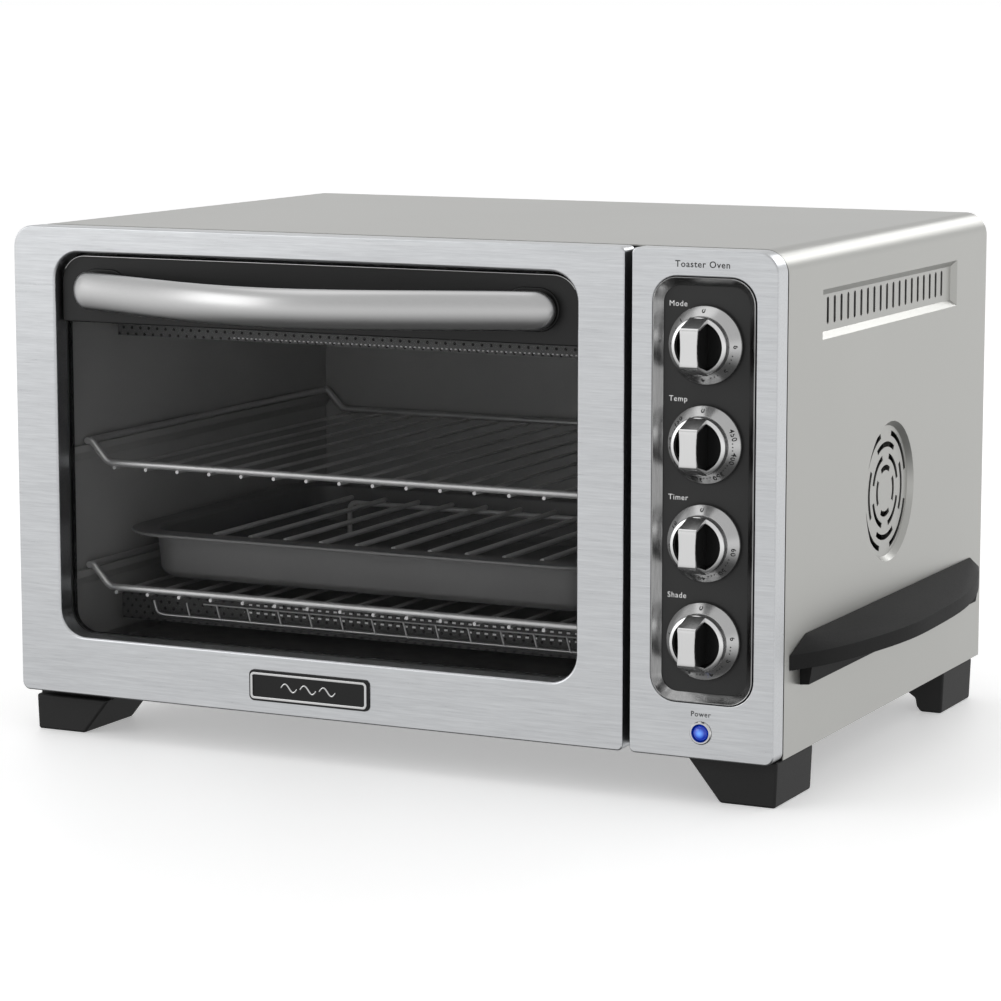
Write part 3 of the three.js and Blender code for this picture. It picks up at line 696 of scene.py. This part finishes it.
def door_glass():
    """The pane, and the black gasket that holds its edge behind the window's return."""
    window = lambda grow: (
        DOOR_MIDDLE - WINDOW_HALF - grow,
        DOOR_MIDDLE + WINDOW_HALF + grow,
        WINDOW_LOW - grow,
        WINDOW_HIGH + grow,
    )
    pane = slab("glass_pane", *window(-0.6), 11.8, 14.9, 15.4)
    dress(soften(pane, 0.2, 1), "door", "door_glass", "door_glass")
    gasket = slab("glass_gasket", *window(5.5), 11.6, 15.1, 20)
    carve(gasket, slab("tool", *window(-0.5), 5, 20, 15.5))
    dress(soften(gasket, 0.3, 2), "door", "black_plastic", material=BLACK_INSERT)


def handle_band():
    """The black band behind the handle, with a thin chrome wire along its top edge as a painted
    highlight on the band's rounded edge.
    """
    x0, x1 = DOOR_MIDDLE - WINDOW_HALF + 1.2, DOOR_MIDDLE + WINDOW_HALF - 1.2
    top = WINDOW_HIGH - 1.5
    band = slab("handle_band_face", x0, x1, BAND_LOW, top, BAND_FACE, 11.3, (1, 1, 15, 15), 12)
    dress(soften(band, 0.9, 3), "door", "black_plastic", "handle_band", material=BLACK_SATIN)
    # The chrome wire along the band's top edge stands in for the highlight on that rounded edge: a
    # painted highlight.
    arc = lambda x, a0, a1: [
        (x + 14.6 * math.cos(a), BAND_FACE + 0.1, top - 15.2 + 14.6 * math.sin(a))
        for a in (math.radians(a0 + (a1 - a0) * i / 8) for i in range(9))
    ]
    path = arc(x0 + 15, 150, 90) + arc(x1 - 15, 90, 30)
    dress(wire("band_edge_highlight_wire", path, 0.38, 6), "door", "chrome")


def handle_curve(u):
    """How far the handle's middle line stands in front of the door, from u = -1 to 1 along it."""
    return 48 * ((1 - u * u) + (1 + math.cos(math.pi * u)) / 2) / 2


def door_handle():
    """A bar of oval section that bows forward and ends on the band, with a black pad round each end as a
    painted dark ring of shade.
    """
    half_span, half_high, half_deep = 148.0, 10.5, 6.0
    bpy.ops.object.select_all(action="DESELECT")
    bpy.ops.mesh.primitive_circle_add(vertices=40, radius=half_high * MM, rotation=(0, math.pi / 2, 0))
    bar = settled("door_handle_bar")
    picked(bar, "verts", lambda v: True)
    bpy.ops.transform.resize(value=(1, half_deep / half_high, 1), center_override=(0, 0, 0))
    steps = 72
    stops = []
    for i in range(steps + 1):
        angle = math.pi * i / steps
        x = -math.cos(angle)
        to_end = min(1.0, (1 - abs(x)) * half_span / half_high)
        stops.append((x, max(0.02, math.sqrt(1 - (1 - to_end) ** 2))))
    past, at = 1.0, Vector((0, 0, 0))
    for i, (u, size) in enumerate(stops):
        to = place(DOOR_MIDDLE + half_span * u, 0.8 - handle_curve(u), 230)
        if i:
            bpy.ops.mesh.extrude_edges_move(TRANSFORM_OT_translate={"value": to - at})
        else:
            bpy.ops.transform.translate(value=to - at)
        bpy.ops.transform.resize(value=(1, size / past, size / past), center_override=to)
        past, at = size, to
    bpy.ops.mesh.select_all(action="SELECT")
    bpy.ops.mesh.select_non_manifold()
    bpy.ops.mesh.edge_face_add()
    bpy.ops.mesh.select_all(action="SELECT")
    bpy.ops.mesh.normals_make_consistent(inside=False)
    done()
    carve(bar, block("tool", (-250, BAND_FACE - 0.3, 200), (250, 60, 260)))
    dress(smoothed(bar, 50), "door", "handle_steel", "door_handle")
    # Black pads a little larger than the bar's ends: a painted dark ring of shade where each end meets
    # the band.
    for name, side in (("left", -1), ("right", 1)):
        x = DOOR_MIDDLE + side * (half_span - 16)
        rim = slab(
            f"handle_end_shade_pad_{name}", x - 16, x + 16, 218.2, 241.8, BAND_FACE - 1.0, BAND_FACE + 2, 11.7, 14
        )
        dress(soften(rim, 0.8, 3), "door", "black_plastic", material=BLACK_INSERT)


def badge():
    """A framed plate with three plain wavy heat lines."""
    x0, x1, z0, z1 = DOOR_MIDDLE - 37.5, DOOR_MIDDLE + 37.5, 7.2, 24.6
    base = slab("badge_base", x0, x1, z0, z1, -1.0, -0.3, 3, 8)
    dress(soften(base, 0.3, 2), "door", "chrome", "badge_plate", material=BLACK_INSERT)
    rim = slab("badge_rim", x0 + 1.2, x1 - 1.2, z0 + 1.2, z1 - 1.2, -1.9, -0.8, 2.2, 8)
    carve(rim, slab("tool", x0 + 2.6, x1 - 2.6, z0 + 2.6, z1 - 2.6, -5, 5, 1.2, 6))
    dress(soften(rim, 0.25, 2), "door", "chrome")
    waves = []
    for i, x in enumerate((-12, 0, 12)):
        points = [
            (DOOR_MIDDLE + x - 5 + 10 * t / 16, -1.05, 15.9 + 2.2 * math.sin(2 * math.pi * t / 16))
            for t in range(17)
        ]
        waves.append(wire(f"wave_{i}", points, 0.6, 6))
    dress(joined("badge_waves", waves), "door", "chrome")


# ---- Control column ----------------------------------------------------------------------------
def control_fascia():
    recess = (FASCIA_MIDDLE, RECESS_HALF, RECESS_LOW, RECESS_HIGH, RECESS_ROUND)
    panel = front_panel("fascia_front", FASCIA_LEFT, FASCIA_RIGHT, (3, 5, 12, 3), recess, 0.9, 0.8)
    carve(panel, turned("tool", (FASCIA_MIDDLE, 0, LAMP_Z), [(5, -5), (5, 8)], 40))
    dress(smoothed(panel, 30), "oven_body", "brushed_steel", "control_fascia")


def control_bezel():
    """A plate face drawn inwards and back, so that it slopes from the fascia down to the plate."""
    half, low, high = RECESS_HALF - 0.3, RECESS_LOW + 0.3, RECESS_HIGH - 0.3
    left, right = FASCIA_MIDDLE - half, FASCIA_MIDDLE + half
    ring = slab("bezel_ring", left, right, low, high, -0.5, PLATE_FACE - 0.3, 13.7, 14)
    picked(ring, "faces", lambda f: middle_of(f).y < -0.4)
    bpy.ops.mesh.inset(thickness=0.5 * MM)
    bpy.ops.mesh.inset(thickness=4.0 * MM, depth=-(PLATE_FACE + 0.1) * MM)
    bpy.ops.mesh.delete(type="FACE")
    bpy.ops.mesh.select_all(action="DESELECT")
    done()
    picked(ring, "faces", lambda f: middle_of(f).y > PLATE_FACE - 0.35 and f.calc_area() > 1e-3)
    bpy.ops.mesh.delete(type="FACE")
    done()
    dress(soften(ring, 0.35, 3), "oven_body", "chrome", "control_bezel", material=SHADED_BEZEL_STEEL)


def on_skirt(z, angle, radius, y, tilt):
    """The place and turn of a mark on a dial's sloping skirt. The angle is clockwise from the top."""
    spin = Matrix.Translation(place(FASCIA_MIDDLE, 0, z)) @ Matrix.Rotation(angle, 4, "Y")
    lie = Matrix.Translation(Vector((0, y, radius)) * MM) @ Matrix.Rotation(math.pi / 2 - tilt, 4, "X")
    return spin @ lie


DIAL_WORDS = {
    "mode": {0: "0", 90: "6", 135: "5", 180: "4", 225: "3", 270: "2", 315: "1"},
    "temperature": {0: "0", 70: "450", 110: "400", 150: "350", 190: "300"}
    | {230: "250", 270: "200", 310: "150"},
    "timer": {0: "0", 100: "60", 140: "50", 180: "40", 220: "30", 260: "20", 300: "10"},
    "toast": {0: "0", 80: "6", 120: "5", 160: "4", 200: "3", 240: "2", 280: "1"},
}


# Each profile is a list of (radius, distance) points; distances run forwards from the plate.
DIAL_PROFILE = [
    (3.3, -0.2), (19.6, -0.2), (20.5, -0.8), (20.5, -1.8),
    (20.1, -2.4), (15.6, -6.4), (14.9, -6.8), (3.3, -6.8),
]
CUP_PROFILE = [
    (12.8, -7.2), (12.8, -10.9), (13.2, -11.5), (14.7, -11.1),
    (15.2, -10.5), (15.4, -6.7), (12.8, -7.2),
]
WELL_PROFILE = [(3.4, -7.0), (12.9, -7.0), (12.9, -10.4), (12.5, -10.4), (11.6, -8.2), (3.4, -7.8)]
MARK_RADIUS, MARK_DEPTH, SKIRT_TILT = 17.9, 4.45, math.radians(48)


def knob_parts(name, z):
    """Sloping dial, bright rim round two black finger hollows, and the grip bar between them."""
    back, middle = PLATE_FACE - 0.3, FASCIA_MIDDLE
    centre = (middle, back, z)
    skirt = turned(f"{name}_dial", centre, DIAL_PROFILE, 72, close=False)
    cup = turned(f"{name}_cup", centre, CUP_PROFILE, 64, close=False)
    well = turned(f"{name}_well", centre, WELL_PROFILE, 56, close=False)
    core = block(f"{name}_core", (middle - 4.4, back - 23.0, z - 12), (middle + 4.4, back - 7.2, z + 12))
    slope_ends(core, back, z, 12, 9.2)
    soften(core, 0.5, 2)
    bar = block(f"{name}_bar", (middle - 5, back - 24, z - 14.9), (middle + 5, back - 10.2, z + 14.9))
    slope_ends(bar, back, z, 14.9, 10.1)
    carve(bar, inner_block(back, z))
    waist(bar, z)
    round_edges(bar, lambda m, d: abs(d.x) > 0.9 and m.y < back - 23.5, 1.2, 4)
    soften(bar, 0.55, 3)
    mark = lambda words, height, degrees: lettering(
        "mark",
        words,
        0,
        0,
        0,
        height,
        on_skirt(z, math.radians(degrees), MARK_RADIUS, back - MARK_DEPTH, SKIRT_TILT),
    )
    marks = [mark(words, 4.0, a) for a, words in DIAL_WORDS[name].items()]
    taken = sorted(DIAL_WORDS[name])
    for a, b in zip(taken[1:], taken[2:]):
        marks += [mark(".", 4.5, a + (b - a) * share) for share in (0.35, 0.5, 0.65)]
    return skirt, cup, well, core, bar, joined(f"{name}_marks", marks)


def slope_ends(bar, back, z, half_base, half_face):
    """Draws the front face of a grip in, so that its two ends slope."""
    picked(bar, "faces", lambda f: f.normal.y < -0.9)
    middle = place(FASCIA_MIDDLE, back, z)
    bpy.ops.transform.resize(value=(1, 1, half_face / half_base), center_override=middle)
    done()


BAR_WAIST = {-6.5: 0.96, -3.2: 0.92, 0: 0.905, 3.2: 0.92, 6.5: 0.96}


def waist(bar, z):
    """Draws the bar's sides in at its middle."""
    only(bar)
    bpy.ops.object.mode_set(mode="EDIT")
    for height in BAR_WAIST:
        bpy.ops.mesh.select_all(action="SELECT")
        bpy.ops.mesh.bisect(plane_co=place(0, 0, z + height), plane_no=(0, 0, 1))
    done()
    for height, share in BAR_WAIST.items():
        picked(bar, "verts", lambda v, h=height: abs(v.co.z - place(0, 0, z + h).z) < 1e-5)
        bpy.ops.transform.resize(value=(share, 1, 1), center_override=place(FASCIA_MIDDLE, 0, z))
        done()


def inner_block(back, z):
    """What is cut from the bar so that it is a bridge over its black core."""
    low = (FASCIA_MIDDLE - 6, back - 22.6, z - 13.4)
    tool = block("tool", low, (FASCIA_MIDDLE + 6, back - 5, z + 13.4))
    slope_ends(tool, back, z, 13.4, 8.9)
    return tool


def knobs():
    for name in KNOBS:
        skirt, cup, well, core, bar, marks = knob_parts(name, KNOB_Z[name])
        body = f"{name}_control"
        dress(skirt, body, "chrome", f"{name}_knob", material=SPUN_CHROME)
        dress(cup, body, "chrome", material=RING_CHROME)
        dress(well, body, "chrome", material=BLACK_INSERT)
        dress(core, body, "chrome", material=BLACK_INSERT)
        dress(bar, body, "chrome", material=SATIN_CHROME)
        dress(marks, body, "chrome", material=DARK_INK)


def control_words():
    labels = {"mode": "Mode", "temperature": "Temp", "timer": "Timer", "toast": "Shade"}
    for name, words in labels.items():
        above = 20.6 if name == "mode" else 22.8
        text = lettering(
            f"{name}_label", words, FASCIA_MIDDLE, PLATE_FACE, KNOB_Z[name] + above, 4.1, weight=0.0
        )
        low = min(v.co.x for v in text.data.vertices)
        text.location.x = place(FASCIA_MIDDLE - 20.8, 0, 0).x - low
        only(text)
        bpy.ops.object.transform_apply(location=True, rotation=False, scale=False)
        dress(text, "oven_body", "black_plastic", material=WHITE_INK)
    heading = lettering("heading", "Toaster Oven", FASCIA_MIDDLE - 1, 0, 257.3, 4.8)
    power = lettering("power_label", "Power", FASCIA_MIDDLE, 0, 23.8, 3.9)
    for text in (heading, power):
        dress(text, "oven_body", "brushed_steel", material=DARK_INK)


def power_lamp():
    centre = (FASCIA_MIDDLE, 0, LAMP_Z)
    dome = [(0.4, -1.9), (2.0, -1.75), (3.4, -1.1), (4.1, -0.1), (4.2, 1.0), (4.2, 12)]
    lens = turned("lamp_lens", centre, dome, 40)
    dress(lens, "oven_body", "blue_lens", "power_lamp")
    rim = [(4.5, 3.0), (4.5, -0.5), (4.9, -1.0), (5.6, -1.0), (6.2, -0.3), (4.9, -0.1)]
    rim += [(4.9, 3.0), (4.5, 3.0)]
    ring = turned("lamp_bezel", centre, rim, 48, close=False)
    dress(ring, "oven_body", "chrome", "lamp_ring")


# ---- Casing ------------------------------------------------------------------------------------
def refined(node_name, name, width, segments=1, smooth_angle=32):
    """A copy of a CAD node: loose triangles merged, flats cleaned and, given a width, edges rounded."""
    only(frame["nodes"][node_name])
    bpy.ops.object.duplicate()
    obj = bpy.context.object
    obj.name = obj.data.name = name
    obj.parent = None
    obj.matrix_world = Matrix.Identity(4)
    only(obj)
    bpy.ops.mesh.customdata_custom_splitnormals_clear()
    bpy.ops.object.mode_set(mode="EDIT")
    bpy.ops.mesh.select_all(action="SELECT")
    bpy.ops.mesh.remove_doubles(threshold=1e-6)
    bpy.ops.mesh.dissolve_limited(angle_limit=math.radians(0.5))
    done()
    if width:
        soften(obj, width, segments, 35, smooth_angle)
    else:
        smoothed(obj, smooth_angle)
    return obj


def casing():
    cover = refined("outer_cover", "cover", 0)
    round_vent_ends(cover)
    dress(smoothed(cover, 24), "oven_body", "silver_paint", "outer_cover")
    panel = louvred(refined("back_panel", "rear_panel", 0.15, 1))
    dress(panel, "oven_body", "silver_paint", "back_panel")
    dress(refined("front_frame", "mouth_frame", 0.2, 1), "oven_body", "black_enamel", "front_frame")
    dress(refined("cord_gland", "gland", 0.5, 2), "oven_body", "black_plastic", "cord_gland")
    for side in ("left", "right"):
        handle = refined(f"side_handle_{side}", f"carry_ledge_{side}", 1.1, 3, 50)
        dress(handle, "oven_body", "black_plastic", f"side_handle_{side}", material=LEDGE_PLASTIC)
    for corner in ("front_left", "front_right", "rear_left", "rear_right"):
        foot = f"foot_{corner}"
        dress(refined(foot, f"pad_{corner}", 1.5, 4), "oven_body", "black_plastic", foot)
    cover_screws()


def louvred(panel):
    """Adds the raised tongue beside each upright slot of the rear panel."""
    tongues = []
    face = BODY_BACK - 3.3
    for i in range(12):
        x = 60 + i * 12
        for low, high in ((60, 130), (150, 220)):
            corner = (x + 4.9, face + 0.6, high + 0.8)
            tongue = block("tongue", (x - 1.2, face - 0.1, low - 0.8), corner)
            picked(tongue, "verts", lambda v: v.co.x > place(x, 0, 0).x)
            bpy.ops.transform.translate(value=(0, 2.3 * MM, 0))
            done()
            tongues.append(tongue)
    return smoothed(joined("rear_panel", [panel, *tongues]), 30)


def round_vent_ends(cover):
    """Rounds the four corners of each upright slot in the cover's vents."""

    def at_end(m, d):
        by_height = min(abs(m.z - VENT_LOW), abs(m.z - VENT_HIGH)) < 0.05
        return m.x > 200 and abs(d.x) > 0.99 and by_height and VENT_FRONT < m.y < VENT_REAR

    round_edges(cover, at_end, 1.5, 3)


def cover_screws():
    """Cross-head screws that hold the rear panel."""
    screws = []
    dome = [(0.4, 2.1), (2.2, 1.8), (3.4, 1.0), (3.7, 0), (3.7, -0.2)]
    for x, z in SCREWS:
        head = turned("screw", (x, BODY_BACK - 3.4, z), dome, 24)
        for a, b in ((2.2, 0.45), (0.45, 2.2)):
            carve(head, block("tool", (x - a, BODY_BACK - 2.2, z - b), (x + a, BODY_BACK + 2, z + b)))
        screws.append(head)
    dress(joined("rear_screws", screws), "oven_body", "silver_paint", material=FINISH["plain_steel"])


# ---- Racks, pan and heaters --------------------------------------------------------------------
def wire_rack(name, rails_z):
    """One closed frame of bent wire, with thin wires welded under its two end wires."""
    rail, bend, shelf = WALL_HALF - 3.2, WALL_HALF - 5.2, WALL_HALF - 16
    low = rails_z - RACK_DROP
    end = lambda y: [
        (DOOR_MIDDLE + side * x, y, z)
        for side, x, z in (
            (-1, rail, rails_z),
            (-1, bend, rails_z),
            (-1, shelf, low),
            (1, shelf, low),
            (1, bend, rails_z),
            (1, rail, rails_z),
        )
    ]
    pieces = [wire("end", bent(end(y), 3.5), 2.05, 12) for y in (RACK_FRONT, RACK_REAR)]
    for side in (-1, 1):
        x = DOOR_MIDDLE + side * rail
        points = [(x, RACK_FRONT - 1.9, rails_z), (x, RACK_REAR + 1.9, rails_z)]
        pieces.append(wire("rail", points, 2, 10))
    for i in range(15):
        x = DOOR_MIDDLE + (i - 7) * 20.85
        points = [(x, RACK_FRONT - 2.6, low - 2.5), (x, RACK_REAR + 2.6, low - 2.5)]
        pieces.append(wire("rung", points, 1.05, 8))
    dress(joined(f"{name}_wires", pieces), f"{name}_body", "rack_wire", name)


def drip_pan():
    """A rim block whose underside is drawn out for the walls and whose top is pushed in for the well."""
    pan = block("pan_shell", (DOOR_MIDDLE - 158, 47, PAN_RIM - 1.9), (DOOR_MIDDLE + 158, 284, PAN_RIM))
    round_edges(pan, lambda m, d: abs(d.z) > 0.9, 36, 12)
    depth = PAN_RIM - PAN_FLOOR
    picked(pan, "faces", lambda f: f.normal.z > 0.9)
    bpy.ops.mesh.inset(thickness=14.5 * MM)
    bpy.ops.mesh.inset(thickness=1.5 * MM, depth=-1.2 * MM)
    bpy.ops.mesh.inset(thickness=2.0 * MM, depth=-(depth - 7) * MM)
    bpy.ops.mesh.inset(thickness=5 * MM, depth=-4 * MM)
    done()
    picked(pan, "faces", lambda f: f.normal.z < -0.9 and middle_of(f).z < PAN_RIM - 1)
    bpy.ops.mesh.inset(thickness=13.2 * MM)
    bpy.ops.mesh.inset(thickness=1.5 * MM, depth=1.0 * MM)
    bpy.ops.mesh.inset(thickness=2.0 * MM, depth=(depth - 8.2) * MM)
    bpy.ops.mesh.inset(thickness=1.4 * MM, depth=2.4 * MM)
    bpy.ops.mesh.inset(thickness=3.4 * MM, depth=2.6 * MM)
    done()
    dress(soften(pan, 0.7, 3, 25, 60), "lower_rack_body", "nonstick", "drip_pan")


def broil_grid():
    half, front, rear, deck = 104.4, 80, 240, PAN_RIM - 4
    pieces = []
    for y in (front, rear):
        ends = [(-half, PAN_FLOOR + 3.2), (-half, deck - 2), (half, deck - 2), (half, PAN_FLOOR + 3.2)]
        pieces.append(wire("leg", bent([(DOOR_MIDDLE + x, y, z) for x, z in ends], 5), 1.5, 10))
    for i in range(10):
        x = DOOR_MIDDLE + (i - 4.5) * 23.2
        pieces.append(wire("bar", [(x, front - 3, deck + 0.6), (x, rear + 3, deck + 0.6)], 1.5, 8))
    dress(joined("grid_wires", pieces), "lower_rack_body", "rack_wire", "broil_grid", material=GRID_WIRE)


def element_guard():
    """A low fence of thin wires that lean a little."""
    left, right = DOOR_MIDDLE - WALL_HALF + 40.5, DOOR_MIDDLE + WALL_HALF - 14
    hook = [(left - 2.5, 50, 47.8), (left - 0.5, 50, 41), (left + 4, 50, 39.8), (right, 50, 39.8)]
    upper = [(left + 30, 50.6, 47.8), (right, 50.6, 47.8)]
    pieces = [wire("long", bent(hook, 2), 1.0, 8), wire("long", upper, 0.5, 6)]
    x = left + 21.5
    while x < right:
        pieces.append(wire("short", [(x - 2.4, 50, 48), (x, 49.6, 40.2), (x + 1.2, 49.2, 39.4)], 0.6, 6))
        x += 20
    fence = joined("guard_wires", pieces)
    dress(fence, "oven_body", "rack_wire", "lower_element_guard", material=GUARD_WIRE)


# ---- Surroundings ------------------------------------------------------------------------------
def area_light(name, location, target, size, power):
    bpy.ops.object.light_add(type="AREA", location=location)
    light = bpy.context.object
    light.name = name
    light.data.shape = "RECTANGLE"
    light.data.size, light.data.size_y = size
    light.data.energy = power
    light.visible_camera = False
    light.rotation_euler = (Vector(target) - Vector(location)).to_track_quat("-Z", "Y").to_euler()


def studio():
    bpy.ops.object.select_all(action="DESELECT")
    bpy.ops.mesh.primitive_plane_add(size=400)
    floor = bpy.context.object
    floor.name = "floor"
    material = finish_of(
        "floor_white",
        lambda t: {"Base Color": blend(t, grain(t, 0.5, 1), grey(0.93), grey(0.95))},
        Emission_Color=grey(1),
        Emission_Strength=0.34,
    )
    floor.data.materials.append(material)
    floor.visible_glossy = False
    white_room()
    area_light("overhead", (-0.5, -0.3, 2.0), (0, 0, 0.1), (1.6, 1.2), 3)
    area_light("front_left", (-1.8, -1.7, 0.9), (0, 0, 0.15), (1.8, 1.2), 10)
    area_light("rear_strip", (0.7, 2.3, 1.15), (0.2, 0.2, 0.2), (1.4, 0.35), 5.5)
    bpy.context.scene.view_settings.view_transform = "Standard"


def white_room():
    """White walls all round and a dark table top, which only reflections see under the floor."""
    world = bpy.data.worlds.new("white_room")
    world.use_nodes = True
    tree = world.node_tree
    height = node(tree, "ShaderNodeTexCoord", output=0)
    height = node(tree, "ShaderNodeSeparateXYZ", {}, {0: height}, output=2)
    ramp = node(
        tree,
        "ShaderNodeValToRGB",
        {"stops": [(0.15, grey(0.1)), (0.44, grey(1)), (0.52, grey(1)), (0.6, grey(0.72))]},
        {0: height * 0.5 + 0.5},
    )
    tree.links.new(ramp.output, tree.nodes["Background"].inputs[0])
    tree.nodes["Background"].inputs[1].default_value = 1.0
    bpy.context.scene.world = world


VIEW_YAW, VIEW_PITCH = math.radians(25.99), math.radians(8.476)
VIEW_PLACE, LENS, SENSOR = (870.95, -1634.68, 399.54), 125.1, 36


def camera():
    bpy.ops.object.camera_add()
    made = bpy.context.object
    made.name = "camera"
    yaw, pitch = VIEW_YAW, VIEW_PITCH
    forward = Vector(
        (-math.sin(yaw) * math.cos(pitch), math.cos(yaw) * math.cos(pitch), -math.sin(pitch))
    )
    made.location = place(*VIEW_PLACE)
    made.rotation_euler = forward.to_track_quat("-Z", "Y").to_euler()
    made.data.lens, made.data.sensor_width = LENS, SENSOR
    made.data.clip_start, made.data.clip_end = 0.05, 60
    bpy.context.scene.camera = made


camera()
studio()
dress_frame()
door_front()
door_glass()
handle_band()
door_handle()
badge()
control_fascia()
control_bezel()
knobs()
control_words()
power_lamp()
casing()
for rack, height in RACK_RAILS.items():
    wire_rack(rack, height)
drip_pan()
broil_grid()
element_guard()
